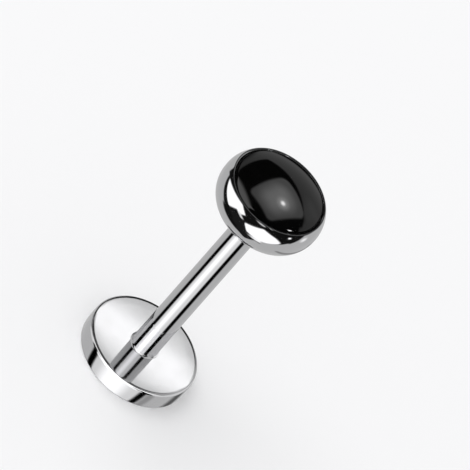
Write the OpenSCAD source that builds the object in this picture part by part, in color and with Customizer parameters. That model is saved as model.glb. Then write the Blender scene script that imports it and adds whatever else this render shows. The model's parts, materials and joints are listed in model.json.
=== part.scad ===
// Push-fit labret stud: a flat-back post, a bezel head on a plain pin, and a domed black stone.
// Millimetres. The origin is the centre of the disc's back face, and +Z runs along the post to the head.

/* [Disc] */
// Diameter of the flat back disc
disc_d = 4.2; // [3:0.1:6]
// Thickness of the disc
disc_t = 0.75; // [0.5:0.05:1.2]
// Rounding of the disc's front edge, on the post's side
disc_front_r = 0.08; // [0.02:0.01:0.2]
// Rounding of the disc's back edge
disc_back_r = 0.05; // [0.02:0.01:0.2]

/* [Post] */
// Diameter of the post, 18 gauge
post_d = 1.02; // [0.9:0.02:1.6]
// Wearing length, from the disc's front face to the underside of the head
wear_len = 7.8; // [6:0.1:14]
// Radius of the solder fillet at the foot of the post
foot_r = 0.08; // [0.03:0.01:0.2]
// Bevel around the mouth of the post
mouth_bevel = 0.04; // [0.01:0.01:0.08]

/* [Pin] */
// Diameter of the pin that pushes into the post
pin_d = 0.54; // [0.3:0.01:0.6]
// Length of the pin below the underside of the head
pin_len = 4.2; // [2:0.1:5]
// Bevel at the tip of the pin
tip_bevel = 0.08; // [0.02:0.01:0.12]
// Clearance between the pin and the wall of the bore
bore_gap = 0.03; // [0.01:0.01:0.08]
// Free depth of the bore past the tip of the pin
bore_spare = 0.5; // [0.1:0.1:0.9]
// Gap between the head's underside and the end of the post
seat_gap = 0.02; // [0.01:0.01:0.05]

/* [Bezel] */
// Diameter of the head at its widest ring
head_d = 4.0; // [3.6:0.1:5]
// Radius of the lower arc of the bezel's side
lower_r = 0.96; // [0.6:0.02:1.3]
// Height that the flat underside takes off the lower arc
under_cut = 0.03; // [0.01:0.01:0.2]
// Height of the straight band at the widest ring
band_h = 0.1; // [0.02:0.02:0.4]
// Height of the lip above the straight band
lip_h = 0.56; // [0.5:0.01:0.9]
// Radius of the lip's rounded top
lip_r = 0.05; // [0.03:0.01:0.08]
// Inset of the cup's wall from the widest ring
cup_inset = 0.26; // [0.2:0.01:0.4]
// Depth of the cup below the top of the lip
cup_depth = 0.85; // [0.6:0.05:1.1]

/* [Stone] */
// Gap between the stone and the cup
stone_gap = 0.015; // [0.01:0.005:0.04]
// Height of the dome above the lip
dome_rise = 0.48; // [0.2:0.01:0.8]
// Radius of the stone's rounded shoulder
shoulder_r = 0.18; // [0.05:0.01:0.2]
// Depth of the shoulder's lower edge below the top of the lip
shoulder_sink = 0.1; // [0.08:0.01:0.3]

/* [Hidden] */
$fn = 96;

// Radii of the turned pieces
disc_r = disc_d / 2;
post_r = post_d / 2;
pin_r = pin_d / 2;
bore_r = pin_r + bore_gap;
head_r = head_d / 2;
cup_r = head_r - cup_inset;
stone_r = cup_r - stone_gap;

// Heights along the post, from the back of the disc
head_z = disc_t + wear_len;
post_top_z = head_z - seat_gap;
bore_floor_z = head_z - pin_len - bore_spare;

// Heights within the head, from its underside
girth_z = lower_r - under_cut;
band_top_z = girth_z + band_h;
lip_top_z = band_top_z + lip_h;
lip_mid_z = lip_top_z - lip_r;
cup_floor_z = lip_top_z - cup_depth;

// The upper arc leaves the band upright and runs smoothly into the lip's rounded top
lip_mid_r = cup_r + lip_r;
lip_in = head_r - lip_mid_r;
lip_up = lip_mid_z - band_top_z;
upper_r = (lip_in * lip_in + lip_up * lip_up - lip_r * lip_r) / (2 * (lip_in - lip_r));
upper_end_z = band_top_z + lip_up * upper_r / (upper_r - lip_r);

// The dome runs smoothly into the stone's rounded shoulder
shoulder_z = lip_top_z - shoulder_sink;
shoulder_mid_r = stone_r - shoulder_r;
apex_z = lip_top_z + dome_rise;
dome_up = apex_z - shoulder_z;
dome_r = (shoulder_mid_r * shoulder_mid_r + dome_up * dome_up - shoulder_r * shoulder_r)
    / (2 * (dome_up - shoulder_r));
dome_end_r = shoulder_mid_r * dome_r / (dome_r - shoulder_r);

// A rectangle in the turned section, from radius r0 to r1 and from height z0 to z1
module bar(r0, r1, z0, z1) {
    translate([r0, z0]) square([r1 - r0, z1 - z0]);
}

// A circle of radius r in the turned section, centred at radius x and height z
module dot(x, z, r) {
    translate([x, z]) circle(r = r);
}

// The section of the disc, with both edges rounded
module disc_section() {
    bar(0, disc_r - disc_back_r, 0, disc_t / 2);
    bar(0, disc_r - disc_front_r, disc_t / 2, disc_t);
    bar(0, disc_r, disc_back_r, disc_t - disc_front_r);
    dot(disc_r - disc_front_r, disc_t - disc_front_r, disc_front_r);
    dot(disc_r - disc_back_r, disc_back_r, disc_back_r);
}

// The section of the solder fillet where the post meets the disc
module foot_section() {
    difference() {
        bar(0, post_r + foot_r, disc_t, disc_t + foot_r);
        dot(post_r + foot_r, disc_t + foot_r, foot_r);
    }
}

// The flat-back disc and the hollow post, soldered into one piece
module labret_post() {
    color("silver") rotate_extrude() difference() {
        union() {
            disc_section();
            foot_section();
            bar(0, post_r, disc_t / 2, post_top_z - mouth_bevel);
            polygon([
                [0, post_top_z - mouth_bevel],
                [post_r, post_top_z - mouth_bevel],
                [post_r - mouth_bevel, post_top_z],
                [0, post_top_z]
            ]);
        }
        bar(0, bore_r, bore_floor_z, post_top_z + disc_t);
    }
}

// The section of the bezel's rounded side, up to the lip
module bezel_section() {
    bar(0, head_r - lower_r, 0, girth_z);
    intersection() {
        dot(head_r - lower_r, girth_z, lower_r);
        bar(0, head_r, 0, girth_z);
    }
    bar(0, head_r, girth_z, band_top_z);
    bar(0, lip_mid_r, band_top_z, lip_mid_z);
    intersection() {
        dot(head_r - upper_r, band_top_z, upper_r);
        bar(lip_mid_r, head_r, band_top_z, upper_end_z);
    }
    dot(lip_mid_r, lip_mid_z, lip_r);
}

// The section of the pin, from its bevelled tip up into the head
module pin_section() {
    bar(0, pin_r, tip_bevel - pin_len, cup_floor_z / 2);
    polygon([
        [0, -pin_len],
        [pin_r - tip_bevel, -pin_len],
        [pin_r, tip_bevel - pin_len],
        [0, tip_bevel - pin_len]
    ]);
}

// The bezel cup and its push-in pin, soldered into one piece
module bezel_head() {
    color("silver") translate([0, 0, head_z]) rotate_extrude() difference() {
        union() {
            bezel_section();
            pin_section();
        }
        bar(0, cup_r, cup_floor_z, lip_top_z + lip_r);
    }
}

// The smooth domed stone, with an upright girdle and a rounded shoulder
module cabochon() {
    color("black") translate([0, 0, head_z]) rotate_extrude() {
        bar(0, stone_r, cup_floor_z + stone_gap, shoulder_z);
        bar(0, shoulder_mid_r, shoulder_z, shoulder_z + shoulder_r / 2);
        intersection() {
            dot(shoulder_mid_r, shoulder_z, shoulder_r);
            bar(shoulder_mid_r - shoulder_r / 2, stone_r, shoulder_z, apex_z);
        }
        intersection() {
            dot(0, apex_z - dome_r, dome_r);
            bar(0, dome_end_r, shoulder_z + shoulder_r / 2, apex_z);
        }
    }
}

labret_post();
bezel_head();
cabochon();
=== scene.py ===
"""Labret stud: a flat round back on a hollow post, and a bezel head with a domed black stone, in steel.

The stud stands by itself on its flat back, on a pale floor. Every piece is turned round the post's axis, so
each one is drawn as a half section with a pen and then spun. Lengths in the classes are millimetres, as on a
drawing, and MM turns them into the scene's metres.

Polished steel shows nothing but what stands round it. Each piece therefore has a light tent of its own: a
big shell that only mirror-like reflections see, with light and dark boards on it.
"""

import logging
import math
from collections.abc import Sequence
from dataclasses import dataclass
from enum import Enum

import bmesh
import bpy
from mathutils import Matrix, Vector
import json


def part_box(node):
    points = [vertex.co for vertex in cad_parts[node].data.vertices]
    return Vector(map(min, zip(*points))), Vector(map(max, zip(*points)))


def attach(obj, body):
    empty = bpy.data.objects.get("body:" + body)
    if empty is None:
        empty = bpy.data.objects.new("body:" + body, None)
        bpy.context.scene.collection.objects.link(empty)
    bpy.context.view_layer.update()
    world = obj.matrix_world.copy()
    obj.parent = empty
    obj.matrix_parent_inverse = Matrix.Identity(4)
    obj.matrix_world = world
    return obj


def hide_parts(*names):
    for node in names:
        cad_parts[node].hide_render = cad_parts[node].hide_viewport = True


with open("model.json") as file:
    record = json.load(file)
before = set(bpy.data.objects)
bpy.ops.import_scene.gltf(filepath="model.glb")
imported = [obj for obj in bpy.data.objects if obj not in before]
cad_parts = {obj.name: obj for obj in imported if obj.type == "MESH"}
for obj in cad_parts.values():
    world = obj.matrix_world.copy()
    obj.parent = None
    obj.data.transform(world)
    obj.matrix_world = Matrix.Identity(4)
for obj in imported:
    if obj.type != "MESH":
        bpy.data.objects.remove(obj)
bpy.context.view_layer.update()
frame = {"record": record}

log = logging.getLogger("labret_stud")

MM = 0.001
# Steps round the axis of every turned piece
TURN_STEPS = 256
# Widest step along an arc of a section, and the fewest steps that an arc has
ARC_STEP = math.radians(4)
ARC_FEWEST = 6
# Length of the short edges that keep the shading of a straight stretch flat, in millimetres, and how many of
# them a stretch has to be longer than to get them
GUARD = 0.006
GUARDS_LEAST = 4
# Points nearer to each other than this are merged, in millimetres
MERGE = 0.0001
# Edges that turn more than this stay crisp
CRISP_ANGLE = math.radians(12)
# A quarter turn, which brings a section's arc from outwards to upwards
QUARTER = math.pi / 2


def srgb(code: str) -> tuple[float, float, float, float]:
    """Turns an sRGB hex colour into the linear colour that a shader takes, by the sRGB standard's curve.

    Args:
        code: Six hex digits, such as "8A8A8C".

    Returns:
        Red, green, blue and an alpha of one.
    """
    full, knee, slope, shift, power = 255, 0.04045, 12.92, 0.055, 2.4
    channels = [int(code[i : i + 2], 16) / full for i in (0, 2, 4)]
    linear = [c / slope if c <= knee else ((c + shift) / (1 + shift)) ** power for c in channels]
    return (*linear, 1.0)


def add_node(
    tree: bpy.types.NodeTree, kind: str, links: dict | None = None, **settings: object
) -> bpy.types.Node:
    """Adds a node to a tree, with its settings and what feeds it.

    Args:
        tree: The node tree.
        kind: The node's type without its first word, such as "Math".
        links: What goes into each socket, by its name or number: an output socket or a plain value.
        settings: Properties of the node itself, such as operation="ADD".

    Returns:
        The new node.
    """
    node = tree.nodes.new("ShaderNode" + kind)
    for name, value in settings.items():
        setattr(node, name, value)
    for socket, value in (links or {}).items():
        if isinstance(value, bpy.types.NodeSocket):
            tree.links.new(value, node.inputs[socket])
        else:
            node.inputs[socket].default_value = value
    return node


def new_material(name: str) -> bpy.types.Material:
    """Makes a material with an empty node tree.

    Args:
        name: The material's name.

    Returns:
        The material.
    """
    material = bpy.data.materials.new(name)
    material.use_nodes = True
    material.node_tree.nodes.clear()
    return material


def new_object(name: str, mesh: bmesh.types.BMesh) -> bpy.types.Object:
    """Puts a finished bmesh into the scene and frees it.

    Args:
        name: The object's name.
        mesh: Its shape.

    Returns:
        The object, at the origin.
    """
    data = bpy.data.meshes.new(name)
    mesh.to_mesh(data)
    mesh.free()
    made = bpy.data.objects.new(name, data)
    bpy.context.scene.collection.objects.link(made)
    return made


def reach(node: str) -> tuple[float, float, float]:
    """Measures a turned node of the frame.

    Args:
        node: The node's name.

    Returns:
        Its radius and the heights of its lowest and highest points, in millimetres.
    """
    low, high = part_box(node)
    return high.x / MM, low.z / MM, high.z / MM


class Pen:
    """Draws the half section of a turned piece, stroke by stroke, and spins it round the post's axis."""

    def __init__(self, radius: float, height: float) -> None:
        """Sets the pen down.

        Args:
            radius: Distance from the axis, in millimetres.
            height: Height above the floor, in millimetres.
        """
        self.mesh = bmesh.new()
        self.tip = self.mesh.verts.new((radius * MM, 0.0, height * MM))

    def step(self, place: Vector) -> None:
        """Draws one straight edge to a place given in metres."""
        self.tip = bmesh.ops.extrude_vert_indiv(self.mesh, verts=[self.tip])["verts"][0]
        self.tip.co = place

    def line(self, radius: float, height: float) -> "Pen":
        """Draws a straight stretch, with a short guard edge at each end where it is long enough.

        Args:
            radius: Where it ends, from the axis, in millimetres.
            height: Where it ends, above the floor, in millimetres.

        Returns:
            The pen itself.
        """
        start, end = self.tip.co.copy(), Vector((radius, 0.0, height)) * MM
        guard = (end - start).normalized() * GUARD * MM
        if (end - start).length > GUARDS_LEAST * guard.length:
            self.step(start + guard)
            self.step(end - guard)
        self.step(end)
        return self

    def arc(self, centre_radius: float, centre_height: float, turn: float) -> "Pen":
        """Draws an arc round a centre.

        Args:
            centre_radius: The centre's distance from the axis, in millimetres.
            centre_height: The centre's height, in millimetres.
            turn: The angle in radians, positive where it runs from outwards to upwards.

        Returns:
            The pen itself.
        """
        made = bmesh.ops.spin(
            self.mesh,
            geom=[self.tip],
            cent=Vector((centre_radius, 0.0, centre_height)) * MM,
            axis=(0.0, 1.0, 0.0),
            dvec=(0.0, 0.0, 0.0),
            angle=-turn,
            steps=max(ARC_FEWEST, math.ceil(abs(turn) / ARC_STEP)),
            use_merge=False,
            use_duplicate=False,
        )
        self.tip = next(g for g in made["geom_last"] if isinstance(g, bmesh.types.BMVert))
        return self

    def spin(self, name: str) -> bpy.types.Object:
        """Spins the section into a closed turned piece, smooth but for its crisp edges.

        Args:
            name: The piece's name.

        Returns:
            The piece, at the origin, with its place in its mesh.
        """
        bmesh.ops.spin(
            self.mesh,
            geom=self.mesh.verts[:] + self.mesh.edges[:],
            cent=(0.0, 0.0, 0.0),
            axis=(0.0, 0.0, 1.0),
            dvec=(0.0, 0.0, 0.0),
            angle=math.tau,
            steps=TURN_STEPS,
            use_merge=True,
            use_duplicate=False,
        )
        bmesh.ops.remove_doubles(self.mesh, verts=self.mesh.verts[:], dist=MM * MERGE)
        bmesh.ops.recalc_face_normals(self.mesh, faces=self.mesh.faces[:])
        for face in self.mesh.faces:
            face.smooth = True
        piece = new_object(name, self.mesh)
        piece.data.set_sharp_from_angle(angle=CRISP_ANGLE)
        return piece


@dataclass(frozen=True)
class PolishedSteel:
    """Surgical steel 316L, turned on a lathe and then tumble-polished.

    The eye gets near mirror reflections in a neutral grey, softened a little here and there by the tumbling,
    and round the axis the last of the turning lines.
    """

    name: str = "surgical_steel_tumble_polished"
    # Colours of the clearest and of the haziest patches
    bright: str = "D6D6D7"
    dull: str = "CFCFD1"
    # Roughness of the same two, the clearest first
    roughness: tuple[float, float] = (0.05, 0.09)
    # Spacing of the turning lines in millimetres. The real ones are about 0.01 apart, drawn coarser to show
    line_pitch: float = 0.06
    # Height of the lines in millimetres, and how many finer lines ride on them
    line_depth: float = 0.00004
    line_detail: float = 2.0
    # Size of the cloudy patches that tumbling leaves, in millimetres, and how frayed their outlines are
    haze_size: float = 0.9
    haze_detail: float = 4.0
    # Span of the cloud pattern that goes from clear to hazy
    haze_span: tuple[float, float] = (0.3, 0.7)

    def material(self) -> bpy.types.Material:
        """Builds the steel, whose lines follow the radius and the height of each turned piece.

        Returns:
            The material.
        """
        material = new_material(self.name)
        tree = material.node_tree
        place = add_node(tree, "TexCoord").outputs["Object"]
        axes = add_node(tree, "SeparateXYZ", {0: place}).outputs
        across = add_node(tree, "CombineXYZ", {"X": axes["X"], "Y": axes["Y"]})
        radius = add_node(tree, "VectorMath", {0: across.outputs[0]}, operation="LENGTH")
        section = add_node(tree, "CombineXYZ", {"X": radius.outputs["Value"], "Y": axes["Z"]})
        line_look = {"Scale": 1 / (self.line_pitch * MM), "Detail": self.line_detail}
        line_look["Vector"] = section.outputs[0]
        lines = add_node(tree, "TexNoise", line_look, noise_dimensions="2D")
        haze_look = {"Scale": 1 / (self.haze_size * MM), "Detail": self.haze_detail}
        haze = add_node(tree, "TexNoise", {"Vector": place, **haze_look}).outputs["Fac"]
        tint = add_node(tree, "MixRGB", {"Fac": haze, 1: srgb(self.dull), 2: srgb(self.bright)})
        span = dict(zip(("From Min", "From Max", "To Min", "To Max"), (*self.haze_span, *self.roughness)))
        rough = add_node(tree, "MapRange", {"Value": haze, **span})
        bump = add_node(tree, "Bump", {"Height": lines.outputs["Fac"], "Distance": self.line_depth * MM})
        steel = add_node(
            tree,
            "BsdfPrincipled",
            {
                "Base Color": tint.outputs[0],
                "Metallic": 1.0,
                "Roughness": rough.outputs["Result"],
                "Normal": bump.outputs["Normal"],
            },
        )
        add_node(tree, "OutputMaterial", {"Surface": steel.outputs["BSDF"]})
        return material


@dataclass(frozen=True)
class PolishedStone:
    """Black agate, cut as a cabochon and polished on felt.

    The eye gets deep black with the sharp, faint reflections of glass, and very slight swirls where the felt
    ran.
    """

    name: str = "black_agate_felt_polished"
    # Colours of the stone's body and of its faint bands
    body: str = "030303"
    band: str = "070707"
    ior: float = 1.54
    # Roughness between the swirls and on them
    roughness: tuple[float, float] = (0.04, 0.08)
    # Size of the agate's bands and of the felt's swirls in millimetres, and how far each is bent
    band_size: float = 1.4
    band_bend: float = 1.5
    swirl_size: float = 0.5
    swirl_bend: float = 2.0

    def material(self) -> bpy.types.Material:
        """Builds the stone.

        Returns:
            The material.
        """
        material = new_material(self.name)
        tree = material.node_tree
        place = add_node(tree, "TexCoord").outputs["Object"]
        band_look = {"Scale": 1 / (self.band_size * MM), "Distortion": self.band_bend}
        bands = add_node(tree, "TexNoise", {"Vector": place, **band_look}).outputs["Fac"]
        tint = add_node(tree, "MixRGB", {"Fac": bands, 1: srgb(self.body), 2: srgb(self.band)})
        swirl_look = {"Scale": 1 / (self.swirl_size * MM), "Distortion": self.swirl_bend}
        swirl = add_node(tree, "TexNoise", {"Vector": place, **swirl_look}).outputs["Fac"]
        low, high = self.roughness
        rough = add_node(tree, "MapRange", {"Value": swirl, "To Min": low, "To Max": high})
        stone = add_node(
            tree,
            "BsdfPrincipled",
            {"Base Color": tint.outputs[0], "Roughness": rough.outputs["Result"], "IOR": self.ior},
        )
        add_node(tree, "OutputMaterial", {"Surface": stone.outputs["BSDF"]})
        return material


@dataclass
class TurnedPiece:
    """A piece that is turned round the post's axis, with what it is made of and what it rides on."""

    name: str
    node: str
    body: str
    slot: str
    finish: PolishedSteel | PolishedStone

    def section(self) -> Pen:
        """Draws the half section, which each kind of piece does in its own way."""
        raise NotImplementedError

    def build(self) -> bpy.types.Object:
        """Spins, dresses and places the piece.

        Returns:
            The piece, riding on its body in place of its node.
        """
        piece = self.section().spin(self.name)
        piece.data.materials.append(self.finish.material())
        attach(piece, self.body)
        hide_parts(self.node)
        log.info("%s: %d faces on %s", self.name, len(piece.data.polygons), self.body)
        return piece


@dataclass
class BackDisc(TurnedPiece):
    """The flat round back, whose polishing has left the face and the wall crowned by a hair."""

    name: str = "back_disc"
    node: str = "labret_post"
    body: str = "post_body"
    slot: str = "post_steel"
    finish: PolishedSteel = PolishedSteel()
    # Rounding of the edge round the face and of the edge round the back
    front_edge: float = 0.08
    back_edge: float = 0.05
    thickness: float = 0.75
    # Radii of the crowned face and of the crowned wall
    face_r: float = 120.0
    wall_r: float = 4.3
    # The polishing wheel has rolled the face off softly just inside its edge
    roll_r: float = 0.6
    roll_lean: float = math.radians(9)
    # Rounds that bring the centres of the front edge and of the roll-off to rest
    rounds: int = 3

    def section(self) -> Pen:
        """Draws the disc's half section, from the middle of its back to the middle of its face.

        Returns:
            The pen, at the middle of the face.
        """
        radius, bottom, _ = reach(self.node)
        middle = bottom + self.thickness / 2
        # The crowned face stands above the disc's thickness by what it falls off towards its edge
        top = bottom + self.thickness + radius**2 / (2 * self.face_r)
        pivot = radius - self.wall_r
        low = math.asin((middle - bottom - self.back_edge) / (self.wall_r - self.back_edge))
        low_r = pivot + (self.wall_r - self.back_edge) * math.cos(low)
        # The centres of the front edge and of the roll-off lie under the face's arc and inside the wall's
        high = 0.0
        for _ in range(self.rounds):
            high_r = pivot + (self.wall_r - self.front_edge) * math.cos(high)
            roll_centre = high_r - (self.roll_r - self.front_edge) * math.sin(self.roll_lean)
            lean = math.asin(roll_centre / (self.face_r - self.roll_r))
            roll_z = top - self.face_r + (self.face_r - self.roll_r) * math.cos(lean)
            high_z = roll_z + (self.roll_r - self.front_edge) * math.cos(self.roll_lean)
            high = math.asin((high_z - middle) / (self.wall_r - self.front_edge))
        pen = Pen(0, bottom).line(low_r, bottom)
        pen.arc(low_r, bottom + self.back_edge, QUARTER - low)
        pen.arc(pivot, middle, low + high)
        pen.arc(high_r, high_z, QUARTER - self.roll_lean - high)
        pen.arc(roll_centre, roll_z, self.roll_lean - lean)
        return pen.arc(0, top - self.face_r, lean)


@dataclass
class PostTube(TurnedPiece):
    """The hollow post with the solder fillet at its foot and the blind bore in its free end."""

    name: str = "post_tube"
    node: str = "labret_post"
    body: str = "post_body"
    slot: str = "post_steel"
    finish: PolishedSteel = PolishedSteel()
    # Radius of the solder's fillet, and bevel round the mouth of the bore
    fillet: float = 0.08
    mouth_bevel: float = 0.04
    # Radius of the bore and height of its floor
    bore_r: float = 0.30
    bore_floor: float = 3.85
    # Height at which the solder meets the crowned face, and how far the tube is let in below it
    face: float = 0.765
    root: float = 0.05

    def section(self) -> Pen:
        """Draws the post's half section, from inside the disc, up the outside and down the bore.

        Returns:
            The pen, at the middle of the bore's floor.
        """
        _, _, top = reach(self.node)
        mount = next(m for m in frame["record"]["mounts"] if m["name"] == "post")
        radius = mount["dims"]["r_mm"]
        outer = radius + self.fillet
        pen = Pen(0, self.face - self.root).line(outer, self.face - self.root).line(outer, self.face)
        pen.arc(outer, self.face + self.fillet, -QUARTER)
        pen.line(radius, top - self.mouth_bevel).line(radius - self.mouth_bevel, top)
        return pen.line(self.bore_r, top).line(self.bore_r, self.bore_floor).line(0, self.bore_floor)


@dataclass
class BezelHead(TurnedPiece):
    """The rounded bezel cup and the plain pin under it."""

    name: str = "bezel_cup"
    node: str = "bezel_head"
    body: str = "head_body"
    slot: str = "bezel_steel"
    finish: PolishedSteel = PolishedSteel()
    # Height of the flat underside
    underside: float = 8.55
    # Radius of the pin and bevel at its tip
    pin_r: float = 0.27
    tip_bevel: float = 0.08
    # Radius of the round lower side, and what the flat underside takes off its height
    lower_r: float = 0.96
    under_cut: float = 0.03
    # Height of the straight band at the widest ring
    band: float = 0.10
    # Radius of the lip's rounded top, and radius and depth of the cup inside it
    lip_r: float = 0.05
    cup_r: float = 1.74
    cup_depth: float = 0.85

    def section(self) -> Pen:
        """Draws pin and cup, from the pin's tip up the outside and down into the cup.

        Returns:
            The pen, at the middle of the cup's floor.
        """
        radius, tip, top = reach(self.node)
        girth = self.underside + self.lower_r - self.under_cut
        shoulder = girth + self.band
        lip_r, lip_z = self.cup_r + self.lip_r, top - self.lip_r
        inward, upward = radius - lip_r, lip_z - shoulder
        upper_r = (inward**2 + upward**2 - self.lip_r**2) / (2 * (inward - self.lip_r))
        meet = math.atan2(upward, upper_r - inward)
        start = math.acos((self.lower_r - self.under_cut) / self.lower_r)
        flat = radius - self.lower_r + self.lower_r * math.sin(start)
        pen = Pen(0, tip).line(self.pin_r - self.tip_bevel, tip).line(self.pin_r, tip + self.tip_bevel)
        pen.line(self.pin_r, self.underside).line(flat, self.underside)
        pen.arc(radius - self.lower_r, girth, QUARTER - start)
        pen.line(radius, shoulder)
        pen.arc(radius - upper_r, shoulder, meet)
        pen.arc(lip_r, lip_z, math.pi - meet)
        return pen.line(self.cup_r, top - self.cup_depth).line(0, top - self.cup_depth)


@dataclass
class Cabochon(TurnedPiece):
    """The smooth black stone: an upright girdle in the cup, a rounded shoulder and a low dome."""

    name: str = "cabochon_dome"
    node: str = "cabochon"
    body: str = "head_body"
    slot: str = "black_stone"
    finish: PolishedStone = PolishedStone()
    # Radius of the rounded shoulder, and depth of its lower edge below the top of the lip
    shoulder_r: float = 0.18
    shoulder_sink: float = 0.10

    def section(self) -> Pen:
        """Draws the stone's half section, from the middle of its flat base to the top of its dome.

        Returns:
            The pen, at the top of the dome.
        """
        radius, bottom, top = reach(self.node)
        _, _, lip_top = reach("bezel_head")
        shoulder_z, inner = lip_top - self.shoulder_sink, radius - self.shoulder_r
        rise = top - shoulder_z
        dome_r = (inner**2 + rise**2 - self.shoulder_r**2) / (2 * (rise - self.shoulder_r))
        meet = math.atan2(shoulder_z - top + dome_r, inner)
        pen = Pen(0, bottom).line(radius, bottom).line(radius, shoulder_z)
        pen.arc(inner, shoulder_z, meet)
        return pen.arc(0, top - dome_r, QUARTER - meet)


@dataclass
class Picture:
    """The camera: a long lens well above the floor, turned so that the post leans to the right."""

    # Angle above the floor, and turn round the line of sight, in degrees
    elevation: float = 42.0
    roll: float = 41.32
    # Side of the picture in millimetres, and where its middle lies across and up the unturned picture
    side: float = 16.04
    across: float = -0.172
    up: float = 5.423
    # Distance of the camera, and the nearest and farthest that it sees, in millimetres
    distance: float = 60.0
    near: float = 1.0
    far: float = 1000.0

    def tilt(self) -> Matrix:
        """Gives the rotation that raises the view from straight down to the camera's height."""
        return Matrix.Rotation(math.radians(90 - self.elevation), 3, "X")

    def turn(self) -> Matrix:
        """Gives the camera's rotation: X to the right in the picture, Y up it and Z towards the camera."""
        return self.tilt() @ Matrix.Rotation(math.radians(self.roll), 3, "Z")

    def build(self) -> None:
        """Makes the camera and gives it to the scene."""
        data = bpy.data.cameras.new("picture")
        data.type = "ORTHO"
        data.ortho_scale = self.side * MM
        data.clip_start = self.near * MM
        data.clip_end = self.far * MM
        camera = bpy.data.objects.new("picture", data)
        place = self.tilt() @ Vector((self.across, self.up, self.distance)) * MM
        camera.matrix_world = Matrix.Translation(place) @ self.turn().to_4x4()
        bpy.context.scene.collection.objects.link(camera)
        bpy.context.scene.camera = camera


class Form(Enum):
    """How a board stands in its tent."""

    CARD = "flat and square, facing the stud"
    ROUND = "round, facing the stud"
    CURTAIN = "hung round the stud, so that its sides are upright and its ends level"


@dataclass(frozen=True)
class Board:
    """A board on a tent's wall, whose angles are in degrees as the stud sees them.

    Heading 0 lies towards the camera and grows to the right, and height grows upwards. The four edges are
    counted from there, except that a curtain's ends are true heights, and a round board has its radius as
    its right edge. A level of one is as bright as white paper, and soft is the width of the blurred edge.
    """

    heading: float
    height: float
    left: float
    right: float
    bottom: float
    top: float
    level: float
    soft: float = 6.0
    form: Form = Form.CARD
    # Turn in its own plane, and radius of its corners
    roll: float = 0.0
    corner: float = 0.0

    # A card's shape would show once more behind the stud, so it is cut off where it is this near to sideways
    FRONT = 0.01

    def mask(self, tree: bpy.types.NodeTree, way: bpy.types.NodeSocket) -> bpy.types.NodeSocket:
        """Builds what is one on the board and zero beside it.

        Args:
            tree: The tent's node tree.
            way: The direction from the stud, in the tent's axes.

        Returns:
            The mask's output.
        """
        curtain = self.form is Form.CURTAIN
        turn = Matrix.Rotation(math.radians(-self.heading), 3, "Y")
        if not curtain:
            turn = Matrix.Rotation(math.radians(self.height), 3, "X") @ turn
        turn = Matrix.Rotation(math.radians(self.roll), 3, "Z") @ turn
        seen = add_node(tree, "Mapping", {"Vector": way, "Rotation": turn.to_euler()}).outputs[0]
        axes = add_node(tree, "SeparateXYZ", {0: seen}).outputs
        if self.form is Form.ROUND:
            away = add_node(tree, "Math", {0: axes["Z"]}, operation="ARCCOSINE").outputs[0]
            return self.edge(tree, away, math.radians(self.right))
        low = Vector((math.radians(self.left), math.radians(self.bottom), 0.0))
        high = Vector((math.radians(self.right), math.radians(self.top), 0.0))
        if curtain:
            across = add_node(tree, "Math", {0: axes["X"], 1: axes["Z"]}, operation="ARCTAN2").outputs[0]
            rise = add_node(tree, "Math", {0: axes["Y"]}, operation="ARCSINE").outputs[0]
            spot = add_node(tree, "CombineXYZ", {"X": across, "Y": rise}).outputs[0]
        else:
            low, high = Vector(map(math.tan, low)), Vector(map(math.tan, high))
            nearness = add_node(tree, "Math", {0: 1.0, 1: axes["Z"]}, operation="DIVIDE").outputs[0]
            spot = add_node(tree, "VectorMath", {0: seen, "Scale": nearness}, operation="SCALE").outputs[0]
        middle, half = (low + high) / 2, (high - low) / 2
        corner = max(math.radians(self.corner), math.radians(self.soft) / 2)
        inside = half - Vector((corner, corner, -1.0))
        spot = add_node(tree, "VectorMath", {0: spot, 1: middle}, operation="SUBTRACT").outputs[0]
        spot = add_node(tree, "VectorMath", {0: spot}, operation="ABSOLUTE").outputs[0]
        spot = add_node(tree, "VectorMath", {0: spot, 1: inside}, operation="SUBTRACT").outputs[0]
        spot = add_node(tree, "VectorMath", {0: spot, 1: (0.0, 0.0, 0.0)}, operation="MAXIMUM").outputs[0]
        past = add_node(tree, "VectorMath", {0: spot}, operation="LENGTH").outputs["Value"]
        edge = self.edge(tree, past, corner)
        if curtain:
            return edge
        front = add_node(tree, "Math", {0: axes["Z"], 1: self.FRONT}, operation="GREATER_THAN").outputs[0]
        return add_node(tree, "Math", {0: edge, 1: front}, operation="MULTIPLY").outputs[0]

    def edge(self, tree: bpy.types.NodeTree, past: bpy.types.NodeSocket, end: float) -> bpy.types.NodeSocket:
        """Builds the soft edge.

        Args:
            tree: The tent's node tree.
            past: How far out a direction lies, in radians.
            end: Where the board ends, in radians.

        Returns:
            One inside the edge, falling smoothly to zero outside it.
        """
        half = math.radians(self.soft) / 2
        fall = {"Value": past, "From Min": end - half, "From Max": end + half, "To Min": 1.0, "To Max": 0.0}
        return add_node(tree, "MapRange", fall, interpolation_type="SMOOTHSTEP").outputs["Result"]


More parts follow.
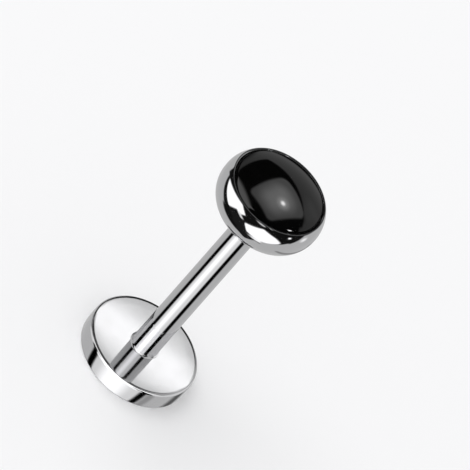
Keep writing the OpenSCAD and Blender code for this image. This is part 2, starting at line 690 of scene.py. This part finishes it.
@dataclass
class Tent:
    """A shell round the stud that only one piece's mirror-like reflections see.

    It lights nothing and hides nothing. The backdrop is the level where no board hangs, and the layer counts
    the tents from the innermost, which has no further meaning than that no two of them meet.
    """

    name: str
    turn: Matrix
    backdrop: float
    boards: Sequence[Board]
    layer: int
    # Radius of the innermost tent, distance from one to the next, and height of their centre, in millimetres
    innermost: float = 500.0
    spacing: float = 20.0
    centre: float = 5.0
    # Times that the shell's triangles are split
    splits: int = 4

    def material(self) -> bpy.types.Material:
        """Paints the boards over the backdrop, one over the other, as light.

        Returns:
            The material, which glows and lets everything through.
        """
        material = new_material(self.name)
        material.cycles.emission_sampling = "NONE"
        tree = material.node_tree
        place = add_node(tree, "TexCoord").outputs["Object"]
        way = add_node(tree, "VectorMath", {0: place}, operation="NORMALIZE").outputs[0]
        level = add_node(tree, "Value").outputs[0]
        level.default_value = self.backdrop
        for board in self.boards:
            mask = board.mask(tree, way)
            level = add_node(tree, "Mix", {"Factor": mask, "A": level, "B": board.level}).outputs["Result"]
        glow = add_node(tree, "Emission", {"Strength": level})
        clear = add_node(tree, "BsdfTransparent")
        both = add_node(tree, "AddShader", {0: glow.outputs[0], 1: clear.outputs[0]})
        add_node(tree, "OutputMaterial", {"Surface": both.outputs[0]})
        return material

    def build(self, piece: bpy.types.Object) -> None:
        """Puts the shell round the stud for one piece alone.

        Args:
            piece: The piece whose reflections see it.
        """
        mesh = bmesh.new()
        radius = self.innermost + self.spacing * self.layer
        bmesh.ops.create_icosphere(mesh, subdivisions=self.splits, radius=radius * MM)
        shell = new_object(self.name, mesh)
        shell.data.materials.append(self.material())
        shell.matrix_world = Matrix.Translation((0, 0, self.centre * MM)) @ self.turn.to_4x4()
        shell.visible_camera = shell.visible_diffuse = False
        shell.visible_transmission = shell.visible_shadow = False
        seen_by = bpy.data.collections.new(self.name + "_pieces")
        seen_by.objects.link(piece)
        shell.light_linking.receiver_collection = seen_by
        log.info("%s: %d boards round %s", self.name, len(self.boards), piece.name)


@dataclass
class Studio:
    """The floor and the soft light on it."""

    # Side of the floor, and how far it lies below the stud so that no faces meet, in millimetres
    floor_side: float = 3000.0
    floor_drop: float = 0.002
    # Colour and roughness of the floor's paper
    paper: str = "F4F4F5"
    paper_roughness: float = 0.9
    # Colour and strength of the sky
    sky_tint: str = "FFFFFF"
    sky: float = 0.76
    # Power of the lamp in watts, and its width and place in millimetres
    lamp_power: float = 1.1
    lamp_size: float = 500.0
    lamp_place: tuple[float, float, float] = (-250.0, 100.0, 450.0)

    def build(self) -> None:
        """Lays the floor and hangs one wide soft lamp under an even pale sky."""
        self.lay_floor()
        self.paint_sky()
        self.hang_lamp()
        bpy.context.scene.view_settings.view_transform = "Standard"

    def lay_floor(self) -> None:
        """Lays one wide sheet of paper, which the steel's reflections don't see."""
        mesh = bmesh.new()
        bmesh.ops.create_grid(mesh, x_segments=1, y_segments=1, size=self.floor_side / 2 * MM)
        bmesh.ops.translate(mesh, verts=mesh.verts[:], vec=(0, 0, -self.floor_drop * MM))
        floor = new_object("floor", mesh)
        floor.data.materials.append(self.paper_material())
        floor.visible_glossy = False

    def paint_sky(self) -> None:
        """Puts an even pale light all round, which the steel's reflections don't see."""
        world = bpy.data.worlds.new("sky")
        bpy.context.scene.world = world
        world.use_nodes = True
        world.node_tree.nodes["Background"].inputs["Strength"].default_value = self.sky
        world.node_tree.nodes["Background"].inputs["Color"].default_value = srgb(self.sky_tint)
        world.cycles_visibility.glossy = False

    def hang_lamp(self) -> None:
        """Hangs the soft lamp that gives the stud its faint shadow."""
        light = bpy.data.lights.new("soft_lamp", "AREA")
        light.shape = "DISK"
        light.size = self.lamp_size * MM
        light.energy = self.lamp_power
        lamp = bpy.data.objects.new("soft_lamp", light)
        place = Vector(self.lamp_place) * MM
        lamp.matrix_world = Matrix.Translation(place) @ place.to_track_quat("Z", "Y").to_matrix().to_4x4()
        bpy.context.scene.collection.objects.link(lamp)
        lamp.visible_glossy = False

    def paper_material(self) -> bpy.types.Material:
        """Builds the floor's paper: matt, so that the eye gets an even white with no shine.

        Returns:
            The material.
        """
        material = new_material("paper_matt_white")
        tree = material.node_tree
        look = {"Base Color": srgb(self.paper), "Roughness": self.paper_roughness, "Specular IOR Level": 0.0}
        paper = add_node(tree, "BsdfPrincipled", look)
        add_node(tree, "OutputMaterial", {"Surface": paper.outputs["BSDF"]})
        return material


ROUND, CURTAIN = Form.ROUND, Form.CURTAIN

# Level of the studio's pale grey walls, which the steel shows wherever no board hangs
WALLS = 0.61
# The stone shows no walls
DARK = 0.0

# The columns of each board: heading, height, left, right, bottom, top, level, and then by name
POST_BOARDS = (
    # The white sheet in front, brightest a little to the left of its middle
    Board(0, 0, -54, 40, -90, 90, 1.0, soft=10, form=CURTAIN),
    Board(-11, 0, -16, 16, -90, 90, 1.65, soft=26, form=CURTAIN),
    # The black flags at its sides, which draw the two dark lines down the post
    Board(-62, 0, -14, 15, -90, 90, 0.0, soft=12, form=CURTAIN),
    Board(52, 0, -15.5, 14, -90, 90, 0.0, soft=12, form=CURTAIN),
    # A sheet and two flags behind, for whoever walks round the stud
    Board(142, 0, -26, 26, -27, 30, 1.3, soft=12, form=CURTAIN),
    Board(105, 0, -8, 8, -27, 30, 0.05, soft=10, form=CURTAIN),
    Board(-150, 0, -14, 14, -27, 30, 0.05, soft=12, form=CURTAIN),
)

# Lower and upper end of the sheets and flags that the disc's face shows to the post's foot
RING_LOW, RING_HIGH = -20.0, 52.0
# The strip that the disc's whole face shows to the camera, straight behind the stud
FACE_AWAY, FACE_UP = 180.0, 42.0

DISC_BOARDS = (
    # Dark over and behind the face, for the line round its far rim and its left one
    Board(180, 0, -120, 120, 46, 90, 0.12, soft=8, form=CURTAIN),
    Board(180, 0, -10, 14, -25, 50, 0.02, soft=6, form=CURTAIN),
    Board(-134, 0, -36, 30, 22, 50, 0.02, soft=5, form=CURTAIN),
    # Grey to the right of them, where the rim's line thins out
    Board(150, 0, -22, 21, 12, 60, 0.5, soft=8, form=CURTAIN),
    # The white sheet in front, brightest in its middle, for the wall
    Board(0, 0, -52, 50, -80, 36, 0.95, soft=8, form=CURTAIN),
    Board(-2, 0, -26, 26, -80, 36, 1.6, soft=30, form=CURTAIN),
    # The bright sheet above it, for the fine white line round the near rim
    Board(-2, 0, -103, 105, 36, 84, 1.9, soft=4, form=CURTAIN),
    # The black flags at its sides, and the grey ones farther round, for the wall's dark patches
    Board(-61, 0, -9, 8, -80, 34, 0.0, soft=6, form=CURTAIN),
    Board(57, 0, -7, 6, -80, 34, 0.0, soft=6, form=CURTAIN),
    Board(73, 0, -7, 7, -80, 34, 0.38, soft=10, form=CURTAIN),
    Board(138, 0, -13, 14, -80, -20, 0.12, soft=18, form=CURTAIN),
    # The ring that the post's foot sees in the face: grey at the sides, the sheet in front and its flags
    Board(107, 0, -43, 41, RING_LOW, 46, 0.88, soft=3, form=CURTAIN),
    Board(-88, 0, -14, 15, RING_LOW, 46, 0.92, soft=3, form=CURTAIN),
    Board(-124, 0, -25, 26, 40, 44, 0.92, soft=2, form=CURTAIN),
    Board(0, 0, -54, 40, RING_LOW, RING_HIGH, 1.55, soft=3, form=CURTAIN),
    Board(-11, 0, -16, 16, RING_LOW, RING_HIGH, 3.0, soft=26, form=CURTAIN),
    Board(-62, 0, -14, 14, 30, RING_HIGH, 0.0, soft=3, form=CURTAIN),
    Board(52, 0, -15, 14, 30, RING_HIGH, 0.0, soft=3, form=CURTAIN),
    Board(-62, 0, -9, 8, RING_LOW, 31, 0.0, soft=3, form=CURTAIN),
    Board(59, 0, -9, 9, RING_LOW, 31, 0.0, soft=3, form=CURTAIN),
    # What the face itself shows: light grey, with a bright band across the middle
    Board(FACE_AWAY, FACE_UP, -10, 10, -4, 4, 0.78, soft=2),
    Board(FACE_AWAY, FACE_UP, -10, 10, -1.15, 0.95, 1.6, soft=1.2, roll=-2.5),
)

# From here on the tents are turned with the picture, so that right and up are the picture's own
BEZEL_BOARDS = (
    # Black in front, for the upper side of the cup, and black high up behind, for the far lip
    Board(0, 0, -108, 92, -90, 90, 0.008, soft=6, form=CURTAIN),
    Board(135, 0, -45, 45, 28, 90, 0.008, soft=8, form=CURTAIN),
    # A dim card for the lip's inner edge, and a white spot for the light along its near edge
    Board(60, 42, -23, 30, -22, 24, 0.12, soft=6, corner=10),
    Board(12, -8, 0, 17, 0, 0, 1.8, soft=11, form=ROUND),
    # The white panel on the left with its ragged lower corner, and black over its slanting top
    Board(-60, 15, -29, 26, -18, 60, 1.6, soft=5),
    Board(-60, 15, 3, 26, -27, -14, 1.6, soft=5),
    Board(-60, 15, 3, 11, -45, -22, 1.1, soft=6),
    Board(-60, 15, -88, 88, 15.5, 88, 0.008, soft=5, roll=33),
    # The wall's grey again beyond it, for the pale left outline
    Board(-148, 0, -27, 27, 20, 86, WALLS, soft=7, form=CURTAIN),
    # The white panel below, between black ones, and the wall's grey under it, for the pale lower outline
    Board(0, -60, -88, -36, -30, 25, 0.015, soft=8),
    Board(0, -60, -42.5, 16.5, -29.5, 24, 1.6, soft=6, corner=8, roll=-9),
    Board(90, 0, -20, 11, -60, -22, 0.008, soft=5, form=CURTAIN),
    Board(0, -60, -28, 33, 13.5, 40, 0.008, soft=5, roll=60),
    Board(0, -60, -50, 6, -60, -34, 0.015, soft=5, roll=26),
    Board(0, -60, -12, 88, -88, -31, WALLS, soft=5, roll=8),
    Board(0, -60, 0, 60, -88, -37, WALLS, soft=5, roll=41),
    # A thin grey strip for the line low on the right, and the two small lamps of the near side
    Board(170, 0, -4, 4, -62, -8, 0.3, soft=5, form=CURTAIN),
    Board(69, -44, 0, 2.6, 0, 0, 2.0, soft=4, form=ROUND),
    Board(112, -36, 0, 5, 0, 0, 1.3, soft=9, form=ROUND),
)

STONE_BOARDS = (
    # The grey sheets behind on the right, for the pale crescent along the far side
    Board(130, 0, -38, 34, 10, 88, 0.36, soft=8, form=CURTAIN),
    Board(104, 0, -16, 10, 6, 28, 0.52, soft=14, form=CURTAIN),
    Board(96, 0, -17, 14, -12, 14, 0.45, soft=5, form=CURTAIN),
    # Black in front of them with a straight side, and grey again above and below it
    Board(60, 42, -75, 32.6, -75, 80, 0.0, soft=4, roll=18),
    Board(60, 42, -10, 88, 46.5, 88, 0.36, soft=4),
    Board(90, -2, -13, 10, -12, 12, 0.45, soft=4),
    # The softbox with round corners, brightest in its middle
    Board(60, 42, -22, 29.5, -21.5, 21, 0.85, soft=4, corner=7, roll=2),
    Board(60, 42, -14, 19, -14, 13, 2.3, soft=20, corner=11),
    # The slanting card for the streak on the left shoulder, trimmed by the black discs round it
    Board(-30, 45, -22, 33, -60, 29, 1.5, soft=6, roll=45),
    Board(-144, -34, 0, 83, 0, 0, 0.0, soft=6, form=ROUND),
    Board(-134, 43.5, 0, 40, 0, 0, 0.0, soft=6, form=ROUND),
    Board(-121, 16.5, 0, 56, 0, 0, 0.0, soft=8, form=ROUND),
    Board(152.5, -41, 0, 57, 0, 0, 0.0, soft=7, form=ROUND),
    # The lamp inside the softbox with its glow, and the small lamp of the near shoulder
    Board(66, 36, 0, 5.5, 0, 0, 4.4, soft=9, form=ROUND),
    Board(66, 36, 0, 2, 0, 0, 18.0, soft=4, form=ROUND),
    Board(61.5, 0, -2.5, 2.5, -9, 6, 24.0, soft=3, form=CURTAIN),
)


def main() -> None:
    """Builds the camera, the studio, the stud's pieces and a tent for each of them."""
    logging.basicConfig(level=logging.INFO, format="%(message)s")
    picture = Picture()
    picture.build()
    Studio().build()
    disc, post, head, stone = (part().build() for part in (BackDisc, PostTube, BezelHead, Cabochon))

    # The tents of disc and post stand upright, the others are turned with the picture
    upright = Matrix.Rotation(QUARTER, 3, "X")
    turned = picture.turn()
    Tent("disc_tent", upright, WALLS, DISC_BOARDS, layer=3).build(disc)
    Tent("post_tent", upright, WALLS, POST_BOARDS, layer=2).build(post)
    Tent("bezel_tent", turned, WALLS, BEZEL_BOARDS, layer=1).build(head)
    Tent("stone_tent", turned, DARK, STONE_BOARDS, layer=0).build(stone)


if __name__ == "__main__":
    main()
